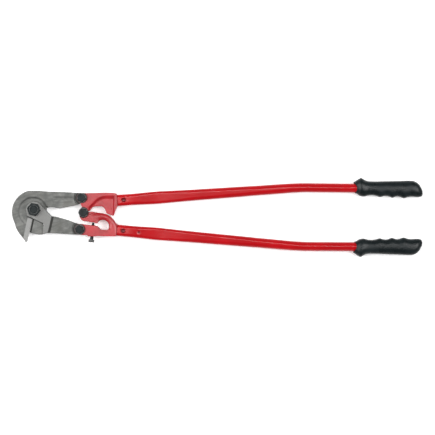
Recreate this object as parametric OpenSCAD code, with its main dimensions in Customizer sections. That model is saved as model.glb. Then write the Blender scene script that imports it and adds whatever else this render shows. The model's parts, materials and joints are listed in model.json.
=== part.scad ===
// Compound-action mesh cutter (bolt cutter): two forged jaws, two forged yokes, two
// tubular handles with rubber grips. The jaw pivot axis is the Z axis, +X runs from the
// jaws to the grips, +Y points to the upper handle, and the tool lies flat on z = 0.

/* [Linkage] */
// Distance along X from the jaw pivot to the handle pivot
arm_length = 113; // [100:0.5:140]
// Height of the jaw pivot above the handle pivot
jaw_rise = 7; // [5:0.5:9]
// Height of the upper link pivot above the handle pivot
upper_crank = 34; // [32:0.5:37]
// Depth of the lower link pivot below the handle pivot
lower_crank = 39; // [38:0.5:42]

/* [Jaws] */
// Thickness of the upper jaw's hook and arm
hook_t = 15; // [13:0.5:18]
// Thickness of the lower jaw's arm
lower_arm_t = 13; // [12:0.5:16]
// Thickness of the tongues that turn inside the forks
tongue_t = 10; // [8:0.5:12]
// Thickness of each of the lower jaw's two cheeks
cheek_t = 4.25; // [4:0.25:6]
// Radius of the hook's outer curve
hook_r = 50.7; // [48:0.1:54]
// Direction of the cutting edges, seen from the jaw pivot
edge_angle = 257.5; // [255:0.5:260]
// Reach of the hook's cutting edge
hook_reach = 77; // [70:0.5:79]
// Reach of the lower blade's cutting edge
blade_reach = 54.3; // [50:0.1:58]
// Gap between the two cutting edges when closed
edge_gap = 0.3; // [0.2:0.1:0.6]

/* [Bolts] */
// Shank diameter of the jaw pivot bolt
jaw_bolt_d = 18; // [14:0.5:22]
// Height of the jaw bolt's low round head, which rests on the table
jaw_head_h = 6; // [5:0.5:8]
// Shank diameter of the three link bolts
link_bolt_d = 12; // [10:0.5:14.5]
// Width across flats of a hexagon, as a multiple of its shank diameter
hex_ratio = 1.5; // [1.45:0.01:1.6]
// Shank diameter of the adjusting screw
screw_d = 8; // [6:0.5:10]
// Thickness of every washer
washer_t = 1.5; // [1:0.1:2]

/* [Yokes] */
// Full thickness of the forged yokes
yoke_t = 20; // [18:0.5:24]
// Metal around each link bolt hole
eye_wall = 6.5; // [5.5:0.5:8]
// Distance along X from the handle pivot to the tubes
yoke_length = 77.5; // [75:0.5:95]
// Distance between the two tubes where they meet the yokes
handle_spread = 68.8; // [66:0.2:72]

/* [Handles] */
// Outer diameter of the round rear of the tubes
tube_d = 21.2; // [17.5:0.1:25.5]
// Wall of the tubes
tube_wall = 2.2; // [1.8:0.1:2.8]
// Length of each tube along its axis
tube_length = 695; // [620:5:850]
// Angle at which each tube leaves the tool's centre line
handle_splay = 4.56; // [3:0.01:6]
// Distance from the yoke to the bend of the tube
bend_start = 396; // [350:1:420]
// Radius of the tube's bend
bend_r = 640; // [500:10:700]
// Length of each grip
grip_length = 159.5; // [140:0.5:190]
// Solid rubber behind the end of the tube
grip_butt = 11; // [8:0.5:14]

/* [Fits] */
// Radial clearance of every bolt in its hole
run_gap = 0.05; // [0.02:0.01:0.1]
// Clearance on each side of a tongue in its fork
side_gap = 0.25; // [0.2:0.05:0.4]
// Clearance of a rounded end inside its pocket
nose_gap = 0.5; // [0.4:0.1:0.8]
// Clearance of each yoke's tang inside its tube
tang_gap = 0.15; // [0.1:0.05:0.3]

/* [Hidden] */
$fn = 96;
steel = "#777975";
dark_steel = "#2b2d31";
red_paint = "#c21820";
rubber = "#2e3233";

// The four pivots: jaws (at the origin), handles, upper link, lower link
handle_pivot = [arm_length, -jaw_rise];
upper_link = handle_pivot + [-3.5, upper_crank];
lower_link = handle_pivot + [-8, -lower_crank];

// Heights above and below the tool's middle plane
fork_half = tongue_t/2 + side_gap;
boss_half = fork_half + cheek_t;
spot_half = yoke_t/2 - 1;
mid_z = boss_half + washer_t + jaw_head_h;

// Round stock around the jaw pivot
boss_r = jaw_bolt_d/2 + 9.5;
web_r = boss_r + 9.5;
nose_r = boss_r + 2;
dish_at = [-3, -5];
dish_r = 31.5;
dish_rim = dish_r + 2.5;
crotch_r = web_r + 4;

// Cutting edges: half their blunt land, and the width of the lower blade's bevel
land_half = 0.6;
blade_bevel = 5;

// Link eyes; the upper jaw's slotted hole leaves room for the opened linkage
eye_r = link_bolt_d/2 + eye_wall;
tail_r = eye_r - 0.5;
pivot_eye_r = eye_r - 1.3;
slot_play = 3.35;
slot_side_play = 0.8;
tail_clear_r = tail_r + 6.5;
upper_throat_r = tail_r + slot_play + 1.2;
lower_throat_r = tail_r + 2.2;

// Link washers, with the faces milled for them and the clearance of the handles' tongue
link_washer_r = link_bolt_d*0.915;
spot_gap = 1.32;
pivot_spot_gap = 0.52;
tongue_gap = nose_gap + 0.2;
spot_r = link_washer_r + spot_gap;
pivot_spot_r = link_washer_r + pivot_spot_gap;
pivot_clear_r = max(pivot_eye_r, link_washer_r) + tongue_gap;

// Tubes: they meet the yokes on a line that is tilted a little
tool_tilt = -0.5;
spine = [handle_pivot[0] + yoke_length, handle_pivot[1] - 6.6];
bend_angle = handle_splay + 0.15;
tang_length = 34;
tang_w = tube_d + 5.2 - 2*tube_wall - 2*tang_gap;
tang_t = tube_d - 6.8 - 2*tube_wall - 2*tang_gap;
upper_end = spine + turn([0, handle_spread/2], tool_tilt);
lower_end = spine + turn([0, -handle_spread/2], tool_tilt);

// The adjusting screw stands under the lower arm of the lower yoke
screw_foot = lower_link + [26.4, -24.7];
screw_tilt = -6;
screw_head_h = 6.5;
screw_length = 40.5;
screw_point = 6;

function turn(p, a) = [p[0]*cos(a) - p[1]*sin(a), p[0]*sin(a) + p[1]*cos(a)];
function polar(r, a) = [r*cos(a), r*sin(a)];
function arc(c, r, a0, a1, n) = [for (i = [0:n]) c + polar(r, a0 + (a1 - a0)*i/n)];

// ---- helpers ----

module at_mid() translate([0, 0, mid_z]) children();
module plate(half) linear_extrude(height = 2*half, center = true) children();
module at(p) translate([p[0], p[1], 0]) children();

// Cuts everything above the given height and below its mirror image
module both_faces(half, depth = 20) {
    translate([0, 0, half]) linear_extrude(height = depth) children();
    translate([0, 0, -half - depth]) linear_extrude(height = depth) children();
}

// A wedge-shaped sector around the jaw pivot
module sector(a0, a1, r = 160) {
    polygon(concat([[0, 0]], arc([0, 0], r, a0, a1, 4)));
}

// Removes metal above a slope and below its mirror image. The profile lists
// [distance, height] and runs along +X of the local frame, for the given length.
module slope_cut(profile, length) {
    top = 20;
    points = concat([for (p = profile) p], [[profile[len(profile) - 1][0], top], [profile[0][0], top]]);
    for (side = [0, 1]) mirror([0, 0, side])
        rotate([90, 0, 90]) linear_extrude(height = length) polygon(points);
}

module hexagon(flats) rotate(30) circle(d = flats/cos(30), $fn = 6);

module hex_block(flats, height) {
    chamfer = flats*0.06;
    intersection() {
        linear_extrude(height = height) hexagon(flats);
        union() {
            cylinder(d = flats/cos(30) + 1, h = height - chamfer);
            translate([0, 0, height - chamfer])
                cylinder(d1 = flats/cos(30), d2 = flats - 0.5, h = chamfer);
        }
    }
}

// ---- jaws ----

module upper_jaw_blank() {
    plate(hook_t/2) difference() {
        intersection() {
            translate([-1, -6]) circle(r = hook_r);
            sector(95, edge_angle + 4);
        }
        translate([-60, 43]) square([120, 20]);
    }
    plate(hook_t/2) circle(r = web_r);
    // Arm, from the pivot to the link
    plate(hook_t/2) polygon([[-13, 43], [12, 43], [22, 42], [35, 41], [60, 40.5], [78, 39.7],
        upper_link + [-10, 11.2], upper_link + [0, 11.2], upper_link, upper_link + [-4.5, -14],
        upper_link + [-17.5, -18], [80, 6.5], [70, 4.5], [60, 2.6], [52, 3.4], [44, 5.4], [36, 5.6],
        [30.5, 4], [0, 0]]);
    plate(hook_t/2) intersection() {
        at(upper_link) circle(r = tail_r);
        at(upper_link) translate([-20, -20]) square([40, 31.2]);
    }
    // Beak below the outer curve
    plate(hook_t/2) polygon([[-1, -6], [-45.6, -30.2], [-42.5, -41.5], [-37.5, -51], [-30, -61],
        [-22.8, -71.5], polar(hook_reach + 1.2, edge_angle - 3.2), polar(hook_reach, edge_angle - 1),
        polar(hook_reach - 2, edge_angle + 1)]);
}

module upper_jaw() color(steel) at_mid() difference() {
    upper_jaw_blank();
    // Mouth, to the right of the cutting edge
    plate(hook_t) difference() {
        at(polar(edge_gap/2, edge_angle - 90)) sector(edge_angle, 343);
        circle(r = nose_r);
    }
    // Dished face around the pivot, with a sloping rim
    for (side = [0, 1]) mirror([0, 0, side]) at(dish_at) {
        translate([0, 0, tongue_t/2]) cylinder(r = dish_r, h = 10);
        translate([0, 0, tongue_t/2]) cylinder(r1 = dish_r, r2 = dish_rim + 0.5,
            h = (dish_rim + 0.5 - dish_r)*(hook_t - tongue_t)/2/(dish_rim - dish_r));
    }
    both_faces(tongue_t/2) intersection() {
        circle(r = crotch_r);
        sector(-22, 13);
    }
    // Ground facets behind the cutting edge
    rotate(edge_angle) translate([nose_r, 0, 0]) mirror([0, 1, 0])
        slope_cut([[-1, land_half], [0, land_half], [11, 4.2], [19, 8.2]], 70);
    // Plain recessed panel on the arm
    both_faces(hook_t/2 - 0.8) translate([45, 17]) square([upper_link[0] - 65, 12]);
    // Tail that turns between the upper yoke's cheeks, with its slotted hole
    both_faces(tongue_t/2) at(upper_link) circle(r = tail_clear_r);
    at(upper_link) {
        for (y = [-1, 1]*(slot_play - slot_side_play))
            translate([0, y, -20]) cylinder(d = link_bolt_d + 2*(slot_side_play + run_gap), h = 40);
        translate([-link_bolt_d/2 - slot_side_play - run_gap, slot_side_play - slot_play, -20])
            cube([link_bolt_d + 2*(slot_side_play + run_gap), 2*(slot_play - slot_side_play), 40]);
    }
    translate([0, 0, -20]) cylinder(d = jaw_bolt_d + 2*run_gap, h = 40);
}

// The lower jaw's thick leg: its upper and lower corner, and the toe between them
leg_top = [boss_r + 21, -15.5];
leg_foot = [boss_r + 12, -54.3];
leg_toe = [leg_foot[0] - 7.5, leg_foot[1] - 1.7];
leg_slope = 6;
function tangent_angle(p) = atan2(p[1], p[0]) + acos(boss_r/norm(p));

module lower_jaw_blank() {
    plate(boss_half) circle(r = boss_r);
    // Leg from the boss down to the blade, and the ear beside the boss
    plate(boss_half) polygon([polar(boss_r - 0.3, tangent_angle(leg_top) + 4), leg_top, leg_foot, leg_toe,
        [21, -33], [-4, -22], [-17, -16], [-17.8, -12], [-16, -8]]);
    // Arm from the leg to the link
    plate(boss_half) polygon([leg_top, leg_top + [leg_slope, -0.5], leg_top + [20.5, -4],
        leg_top + [28.5, -6], leg_top + [40.5, -10], lower_link + [-15, 16.5], lower_link + [-5, 13.3],
        lower_link + [-1, 12.5], lower_link, lower_link + [-1, -12.5], lower_link + [-15, -12],
        lower_link + [-30, -11], lower_link + [-45, -10], leg_foot + [14.5, -0.7], leg_foot,
        leg_foot + [-1, 1]]);
    plate(boss_half) at(lower_link) circle(r = tail_r);
    // Blade, to the right of the cutting edge
    plate(boss_half) difference() {
        polygon([[0, 0], polar(blade_reach, edge_angle), polar(blade_reach + 0.5, edge_angle + 2),
            [-6, -55], [0, -56], [10, -58], leg_toe + [-5, -1.8], leg_toe, leg_foot]);
        at(polar(edge_gap/2, edge_angle + 90)) sector(edge_angle - 60, edge_angle);
    }
}

// The recess in front of the leg, where the blade is ground down
module blade_field() {
    polygon([[-30, -8.25], [21, -33], [19.5, -70], [-30, -70]]);
}

module jaw_slot_outline() {
    difference() {
        circle(r = web_r + nose_gap);
        at(polar(edge_gap/2, edge_angle + 90)) sector(edge_angle, 325);
    }
    circle(r = nose_r + nose_gap);
}

module lower_jaw() color(steel) at_mid() difference() {
    lower_jaw_blank();
    // Slope from the thick leg down to the arm
    at(leg_top) rotate(atan2(leg_foot[1] - leg_top[1], leg_foot[0] - leg_top[0]))
        translate([-20, 0.3, 0]) slope_cut([[-0.5, boss_half + 0.5*(boss_half - lower_arm_t/2)/leg_slope],
            [leg_slope, lower_arm_t/2], [arm_length, lower_arm_t/2]], 90);
    both_faces(tongue_t/2) blade_field();
    rotate(edge_angle) translate([nose_r + 2.3, 0, 0])
        slope_cut([[-1, land_half], [edge_gap/2, land_half],
            [edge_gap/2 + blade_bevel*1.1, land_half + (tongue_t/2 - land_half)*1.1]], 60);
    plate(fork_half) jaw_slot_outline();
    both_faces(tongue_t/2) at(lower_link) circle(r = tail_clear_r);
    translate([0, 0, -20]) cylinder(d = jaw_bolt_d + 2*run_gap, h = 40);
    at(lower_link) translate([0, 0, -20]) cylinder(d = link_bolt_d + 2*run_gap, h = 40);
}

// ---- yokes ----

module upper_yoke_outline() {
    square_top = upper_link + [0, 10.5];
    end_top = upper_end + turn([0, 15.5], handle_splay + tool_tilt);
    end_low = upper_end + turn([0, -14], handle_splay + tool_tilt);
    intersection() {
        at(upper_link) circle(r = eye_r);
        at(upper_link) translate([-20, -20]) square([40, 30.5]);
    }
    at(handle_pivot) circle(r = pivot_eye_r);
    polygon([square_top, upper_link + [31.5, 11], upper_end + [-30.5, 18], upper_end + [-12.5, 17.7],
        upper_end + [-3.5, 16.8], end_top, end_low,
        // stop lug
        upper_end + [-1.5, -18.8], upper_end + [-4.5, -24.8], upper_end + [-7.5, -34.3],
        upper_end + [-9.5, -35.6], upper_end + [-24.5, -29.8], upper_end + [-25.5, -26.8],
        upper_end + [-27.5, -21.8], upper_end + [-30.5, -16.8], upper_end + [-35.5, -13.3],
        // hollow between the lug and the handle pivot
        handle_pivot + [26, 14], handle_pivot + [21, 12], handle_pivot + [18, 8],
        handle_pivot + [16, 4], handle_pivot, handle_pivot + [-4.5, 9], handle_pivot + [-3.5, 14],
        upper_link + [-2.5, -15], upper_link]);
}

// Pocket that leaves the web between the curved rib and the collar
module web_pocket() {
    floor_line = [handle_pivot + [16, -40], handle_pivot + [16, 10], handle_pivot + [27, 20],
        handle_pivot + [33, 26], handle_pivot + [40, 30.5], upper_end + [-28, 4.5],
        upper_end + [-10, 4.5], upper_end + [-10, -50]];
    rim_line = [handle_pivot + [11.5, -40], handle_pivot + [11.5, 11], handle_pivot + [21, 21],
        handle_pivot + [29, 29], handle_pivot + [36, 34.5], upper_end + [-28, 10.4],
        upper_end + [-5.5, 10.4], upper_end + [-5.5, -50]];
    for (side = [0, 1]) mirror([0, 0, side]) hull() {
        translate([0, 0, tongue_t/2]) linear_extrude(height = 0.01) polygon(floor_line);
        translate([0, 0, yoke_t/2 + 0.01]) linear_extrude(height = 5) polygon(rim_line);
    }
}

module tang(end, angle) at(end) rotate(angle) {
    for (y = [-1, 1]*(tang_w - tang_t)/2)
        translate([-4, y, 0]) rotate([0, 90, 0]) cylinder(d = tang_t, h = tang_length + 4);
    translate([-4, -(tang_w - tang_t)/2, -tang_t/2]) cube([tang_length + 4, tang_w - tang_t, tang_t]);
}

module spot_face(p, r) both_faces(spot_half) at(p) circle(r = r);

module upper_yoke() color(red_paint) at_mid() difference() {
    union() {
        difference() {
            plate(yoke_t/2) upper_yoke_outline();
            web_pocket();
        }
        tang(upper_end, handle_splay + tool_tilt);
    }
    spot_face(upper_link, spot_r);
    spot_face(handle_pivot, pivot_spot_r);
    plate(fork_half) {
        at(upper_link) circle(r = upper_throat_r);
        at(handle_pivot) circle(r = pivot_eye_r + nose_gap);
    }
    for (p = [upper_link, handle_pivot])
        at(p) translate([0, 0, -20]) cylinder(d = link_bolt_d + 2*run_gap, h = 40);
}

module lower_yoke_outline() {
    end_top = lower_end + turn([0, 15.5], -handle_splay + tool_tilt);
    end_low = lower_end + turn([0, -14], -handle_splay + tool_tilt);
    at(handle_pivot) circle(r = pivot_eye_r);
    at(lower_link) circle(r = eye_r);
    polygon(concat([handle_pivot, handle_pivot + [-10.4, -1], handle_pivot + [-9.5, -7],
        handle_pivot + [-7, -13], handle_pivot + [-3, -18], handle_pivot + [2, -20.3],
        handle_pivot + [10, -20.8], handle_pivot + [18, -22.5], handle_pivot + [26, -23],
        handle_pivot + [29, -25], handle_pivot + [32.5, -25]],
        // round window behind the adjusting gap
        arc(lower_end + [-32.7, 9], 15, 128, -28, 10),
        [lower_end + [-23.5, 0.7], lower_end + [-32.5, 1.2], lower_end + [-38.5, 2.5],
        lower_link + [43, 5],
        lower_link + [41, 7.5], lower_link + [34, 9], lower_link + [26, 9.5],
        lower_link + [15, 11], lower_link + [5, 12.5], lower_link + [-1, 12.8], lower_link,
        lower_link + [0, -eye_r], lower_link + [17, -13.5], lower_link + [19, -16],
        lower_link + [37, -16], lower_link + [41, -15.2], lower_end + [-30, -14],
        end_low, end_top, lower_end + [-0.5, 15.6]],
        // curved rib over the window
        arc(lower_end + [-40, -2], 42, 25, 92, 10),
        [handle_pivot + [27, 1], handle_pivot + [18, 2.4], handle_pivot + [12, 0.6]]));
}

module adjuster_axis() at(screw_foot) rotate([-90, 0, screw_tilt]) children();

module lower_yoke() color(red_paint) at_mid() difference() {
    union() {
        plate(yoke_t/2) lower_yoke_outline();
        tang(lower_end, -handle_splay + tool_tilt);
    }
    // Tongue that turns inside the upper yoke
    both_faces(tongue_t/2) at(handle_pivot) circle(r = pivot_clear_r);
    spot_face(lower_link, spot_r);
    plate(fork_half) at(lower_link) circle(r = lower_throat_r);
    at(handle_pivot) translate([0, 0, -20]) cylinder(d = link_bolt_d + 2*run_gap, h = 40);
    at(lower_link) translate([0, 0, -20]) cylinder(d = link_bolt_d + 2*run_gap, h = 40);
    // Threaded hole of the adjusting screw, plain
    adjuster_axis() cylinder(d = screw_d + 2*run_gap, h = screw_length - screw_point + 2.5);
}

// ---- fasteners ----

module ring(d_out, d_in, h) difference() {
    cylinder(d = d_out, h = h);
    translate([0, 0, -1]) cylinder(d = d_in, h = h + 2);
}

module hex_nut(shank, height) difference() {
    hex_block(shank*hex_ratio, height);
    translate([0, 0, -1]) cylinder(d = shank + 2*run_gap, h = height + 2);
}

jaw_nut_h = jaw_bolt_d*0.83;
link_head_h = link_bolt_d*0.6;
link_nut_h = link_bolt_d*0.5;

module jaw_pivot_bolt() color(dark_steel) at_mid() {
    head_r = jaw_bolt_d*0.83;
    top = boss_half + jaw_nut_h + 1;
    translate([0, 0, -boss_half - washer_t - jaw_head_h]) {
        cylinder(r1 = head_r - 0.8, r2 = head_r, h = 0.8);
        translate([0, 0, 0.8]) cylinder(r = head_r, h = jaw_head_h - 0.8);
    }
    translate([0, 0, -boss_half - washer_t - 1])
        cylinder(d = jaw_bolt_d, h = boss_half + washer_t + top);
    translate([0, 0, top - 1]) cylinder(d1 = jaw_bolt_d, d2 = jaw_bolt_d - 2, h = 1);
}

module jaw_pivot_washer() color(dark_steel) at_mid() translate([0, 0, -boss_half - washer_t])
    ring(jaw_bolt_d*1.83, jaw_bolt_d + 2*run_gap, washer_t);

module jaw_pivot_nut() color(dark_steel) at_mid() translate([0, 0, boss_half])
    rotate(19) hex_nut(jaw_bolt_d, jaw_nut_h);

module link_bolt(p, spin) color(dark_steel) at_mid() at(p) {
    translate([0, 0, spot_half + washer_t]) rotate(spin) hex_block(link_bolt_d*hex_ratio, link_head_h);
    translate([0, 0, -spot_half - link_nut_h - 0.5])
        cylinder(d = link_bolt_d, h = 2*spot_half + link_nut_h + washer_t + 1);
    translate([0, 0, -spot_half - link_nut_h - 1])
        cylinder(d1 = link_bolt_d - 1, d2 = link_bolt_d, h = 0.5);
}

module link_washer(p) color(dark_steel) at_mid() at(p) translate([0, 0, spot_half])
    ring(2*link_washer_r, link_bolt_d + 2*run_gap, washer_t);

module link_nut(p, spin) color(dark_steel) at_mid() at(p) translate([0, 0, -spot_half]) mirror([0, 0, 1])
    rotate(spin) hex_nut(link_bolt_d, link_nut_h);

module lower_link_bolt() link_bolt(lower_link, 8);
module lower_link_washer() link_washer(lower_link);
module lower_link_nut() link_nut(lower_link, 21);
module upper_link_bolt() link_bolt(upper_link, 15);
module upper_link_washer() link_washer(upper_link);
module upper_link_nut() link_nut(upper_link, 3);
module handle_pivot_bolt() link_bolt(handle_pivot, 25);
module handle_pivot_washer() link_washer(handle_pivot);
module handle_pivot_nut() link_nut(handle_pivot, 12);

module adjusting_screw() color(dark_steel) at_mid() adjuster_axis() {
    translate([0, 0, 1.5]) mirror([0, 0, 1]) hex_block(screw_d*1.65, screw_head_h);
    translate([0, 0, 1]) cylinder(d = screw_d, h = screw_length - screw_point);
    translate([0, 0, screw_length - screw_point])
        cylinder(d = screw_d - 2.5, h = screw_point);
}

// ---- handles ----

// [distance from the yoke, extra width, lost thickness] of the flattened tube
tube_shape = [[0, 5.2, 6.8], [36, 5.2, 6.8], [63, 6.3, 8.9], [90, 7.7, 10.4], [118, 6.7, 9.4],
    [150, 5.4, 7.8], [180, 4.5, 6.4], [230, 3.6, 5], [285, 2.6, 3.9], [325, 1.6, 2.4],
    [380, 1.1, 1.6], [450, 0, 0]];
bend_end = bend_start + bend_r*bend_angle*PI/180;

// A point of the tube's axis and its direction, at a distance from the yoke
function path_angle(s) = s < bend_start ? 0
    : s > bend_end ? -bend_angle : -(s - bend_start)/bend_r*180/PI;
function path_point(s) = s < bend_start ? [s, 0]
    : s > bend_end ? path_point(bend_end) + polar(s - bend_end, -bend_angle)
    : [bend_start + bend_r*sin(-path_angle(s)), -bend_r*(1 - cos(path_angle(s)))];

function shape_value(s, column) = lookup(s, [for (row = tube_shape) [row[0], row[column]]]);

// One ring of the tube: a slot shape, its flats facing up and down
function tube_ring(s, inset) = let (
    w = tube_d + shape_value(s, 1) - 2*inset,
    t = tube_d - shape_value(s, 2) - 2*inset,
    a = path_angle(s), p = path_point(s))
    [for (i = [0:31]) let (f = (i + 0.5)*360/32,
        y = (cos(f) > 0 ? 1 : -1)*(w - t)/2 + t/2*cos(f), z = t/2*sin(f))
        [p[0] - y*sin(a), p[1] + y*cos(a), z]];

tube_stations = concat([for (row = tube_shape) if (row[0] < bend_start) row[0]],
    [for (i = [0:4]) bend_start + (bend_end - bend_start)*i/4], [bend_end + 12, tube_length]);

module tube() {
    rings = len(tube_stations);
    points = concat([for (s = tube_stations) each tube_ring(s, 0)],
        [for (s = tube_stations) each tube_ring(s, tube_wall)]);
    inner = rings*32;
    faces = concat(
        [for (k = [0:rings - 2], i = [0:31]) let (j = (i + 1)%32)
            each [[k*32 + i, k*32 + j, k*32 + 32 + j], [k*32 + i, k*32 + 32 + j, k*32 + 32 + i]]],
        [for (k = [0:rings - 2], i = [0:31]) let (j = (i + 1)%32)
            each [[inner + k*32 + j, inner + k*32 + i, inner + k*32 + 32 + i],
                [inner + k*32 + j, inner + k*32 + 32 + i, inner + k*32 + 32 + j]]],
        [for (i = [0:31]) let (j = (i + 1)%32) each [[i, inner + i, inner + j], [i, inner + j, j]]],
        [for (i = [0:31]) let (j = (i + 1)%32, e = (rings - 1)*32)
            each [[e + i, e + j, inner + e + j], [e + i, inner + e + j, inner + e + i]]]);
    polyhedron(points, faces);
}

// Grip outline beside the tube's axis, [distance from its mouth, offset]
grip_back = [[0, 13.4], [5, 17.7], [12, 21.6], [19, 23.2], [26, 18.8], [33, 16.7], [42, 16.2],
    [54, 16.2], [75, 17], [102, 17.8], [130, 18.8], [137, 18.1], [144, 15.5], [151, 9.4], [158, -3]];
grip_front = [[0, 12.4], [5, 12.7], [12, 17], [19, 18.9], [26, 19.4], [33, 17], [41, 16.2],
    [51, 18], [61, 19.6], [68, 18.8], [75, 17.5], [82, 19.4], [89, 20.9], [96, 20], [101.5, 18.7],
    [109, 20.5], [116.5, 21.9], [125, 20], [133, 18.5], [143, 19.4], [151, 19.4], [156, 17.5],
    [158, 15]];
grip_half_t = [[0, 12.8], [5, 14.2], [12, 16.4], [19, 17], [26, 16.2], [33, 15], [125, 15],
    [145, 14.5], [152, 12], [158, 7.5]];
grip_nominal = 158;

function grip_ring(u) = let (k = u*grip_nominal/grip_length, wider = (tube_d - 21.2)/2,
    back = lookup(k, grip_back) + wider, front = lookup(k, grip_front) + wider,
    half = min(lookup(k, grip_half_t) + wider, mid_z),
    centre = (back - front)/2, reach = (back + front)/2)
    [for (i = [0:27]) let (f = (i + 0.5)*360/28)
        [u, centre + reach*sign(cos(f))*pow(abs(cos(f)), 0.9),
            half*sign(sin(f))*pow(abs(sin(f)), 0.9)]];

module grip_body() {
    count = 36;
    points = [for (k = [0:count]) each grip_ring(k*grip_length/count)];
    faces = concat(
        [for (k = [0:count - 1], i = [0:27]) let (j = (i + 1)%28)
            each [[k*28 + i, k*28 + j, k*28 + 28 + j], [k*28 + i, k*28 + 28 + j, k*28 + 28 + i]]],
        [[for (i = [27:-1:0]) i]], [[for (i = [0:27]) count*28 + i]]);
    polyhedron(points, faces);
}

// Both handles share one shape; the lower one is its mirror image
module handle(side) at_mid() at(spine) rotate(tool_tilt) mirror([0, side < 0 ? 1 : 0, 0])
    at([0, handle_spread/2]) rotate(handle_splay) children();

module grip(side) color(rubber) handle(side) {
    depth = grip_length - grip_butt;
    start = path_point(tube_length - depth);
    at(start) rotate(-bend_angle) difference() {
        grip_body();
        translate([-1, 0, 0]) rotate([0, 90, 0]) cylinder(d = tube_d + 2*run_gap, h = depth + 1);
    }
}

module upper_tube() color(red_paint) handle(1) tube();
module lower_tube() color(red_paint) handle(-1) tube();
module upper_grip() grip(1);
module lower_grip() grip(-1);

lower_jaw();
upper_jaw();
jaw_pivot_bolt();
jaw_pivot_washer();
jaw_pivot_nut();
lower_yoke();
upper_yoke();
lower_link_bolt();
lower_link_washer();
lower_link_nut();
upper_link_bolt();
upper_link_washer();
upper_link_nut();
handle_pivot_bolt();
handle_pivot_washer();
handle_pivot_nut();
adjusting_screw();
lower_tube();
upper_tube();
lower_grip();
upper_grip();
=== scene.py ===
import json
import math

import bmesh
import bpy
from mathutils import Matrix, Vector


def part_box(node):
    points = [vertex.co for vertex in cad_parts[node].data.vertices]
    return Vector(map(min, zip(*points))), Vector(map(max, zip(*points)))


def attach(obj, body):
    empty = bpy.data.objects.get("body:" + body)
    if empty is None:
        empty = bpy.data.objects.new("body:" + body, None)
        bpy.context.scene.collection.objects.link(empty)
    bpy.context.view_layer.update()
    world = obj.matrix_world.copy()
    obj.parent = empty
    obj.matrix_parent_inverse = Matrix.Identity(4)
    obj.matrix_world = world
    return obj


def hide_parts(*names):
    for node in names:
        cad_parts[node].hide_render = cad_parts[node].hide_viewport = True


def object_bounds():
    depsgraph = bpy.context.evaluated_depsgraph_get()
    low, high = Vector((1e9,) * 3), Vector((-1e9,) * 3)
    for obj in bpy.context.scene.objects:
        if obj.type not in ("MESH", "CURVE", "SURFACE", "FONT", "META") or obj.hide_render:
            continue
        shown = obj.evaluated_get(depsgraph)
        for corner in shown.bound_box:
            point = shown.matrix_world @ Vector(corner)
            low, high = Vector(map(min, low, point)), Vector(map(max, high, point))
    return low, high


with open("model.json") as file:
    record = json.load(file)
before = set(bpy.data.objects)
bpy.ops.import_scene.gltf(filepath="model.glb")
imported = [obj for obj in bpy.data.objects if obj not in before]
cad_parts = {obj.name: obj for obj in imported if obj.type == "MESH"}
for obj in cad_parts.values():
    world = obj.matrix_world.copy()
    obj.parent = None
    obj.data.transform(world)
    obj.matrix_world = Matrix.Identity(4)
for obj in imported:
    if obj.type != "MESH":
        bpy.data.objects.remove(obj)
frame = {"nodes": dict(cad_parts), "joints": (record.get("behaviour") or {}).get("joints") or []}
cadBox = [list(corner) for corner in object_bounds()]
cadCentre = (Vector(cadBox[0]) + Vector(cadBox[1])) / 2
jointAt = {joint["name"]: Vector(joint["pos_m"]) for joint in frame["joints"]}
midZ = jointAt["jaw_opening"].z
mm = 0.001
boltBoxes = [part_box(node) for node in ("upper_link_bolt", "lower_link_bolt", "handle_pivot_bolt")]
linkPivots = [(low + high) / 2 for low, high in boltBoxes]
print("frame loaded,", len(frame["nodes"]), "parts")


def smoothStep(low, high, value):
    share = min(1.0, max(0.0, (value - low) / (high - low)))
    return share * share * (3 - 2 * share)


# A soft curve through the rows of a table, by its first column
def curveValue(table, at, column=1):
    if at <= table[0][0]:
        return table[0][column]
    for index in range(len(table) - 1):
        left, right = table[index], table[index + 1]
        if at <= right[0]:
            before = table[max(0, index - 1)]
            after = table[min(len(table) - 1, index + 2)]
            span = right[0] - left[0]
            share = (at - left[0]) / span
            startSlope = (right[column] - before[column]) / (right[0] - before[0]) * span
            endSlope = (after[column] - left[column]) / (after[0] - left[0]) * span
            cube, square = share ** 3, share ** 2
            return ((2 * cube - 3 * square + 1) * left[column] + (cube - 2 * square + share) * startSlope
                    + (3 * square - 2 * cube) * right[column] + (cube - square) * endSlope)
    return table[-1][column]


def addPiece(name, mesh, material, body, slot, *nodes):
    piece = bpy.data.objects.new(name, mesh)
    bpy.context.scene.collection.objects.link(piece)
    piece.data.materials.clear()
    piece.data.materials.append(material)
    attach(piece, body)
    if nodes:
        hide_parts(*nodes)
    return piece


def meshFrom(bm, name, smooth=True):
    for face in bm.faces:
        face.smooth = smooth
    mesh = bpy.data.meshes.new(name)
    bm.to_mesh(mesh)
    bm.free()
    return mesh


# A CAD mesh comes as loose triangles: its copy is merged into clean flat faces
def cleanCopy(nodeName):
    bm = bmesh.new()
    bm.from_mesh(frame["nodes"][nodeName].data)
    bmesh.ops.remove_doubles(bm, verts=bm.verts, dist=0.02 * mm)
    bmesh.ops.dissolve_limit(bm, angle_limit=math.radians(0.5), verts=bm.verts, edges=bm.edges)
    return bm


def flatShading(piece):
    weighted = piece.modifiers.new("weightedNormals", "WEIGHTED_NORMAL")
    weighted.mode = "FACE_AREA"
    weighted.weight = 60
    weighted.keep_sharp = True
    return piece


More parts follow.
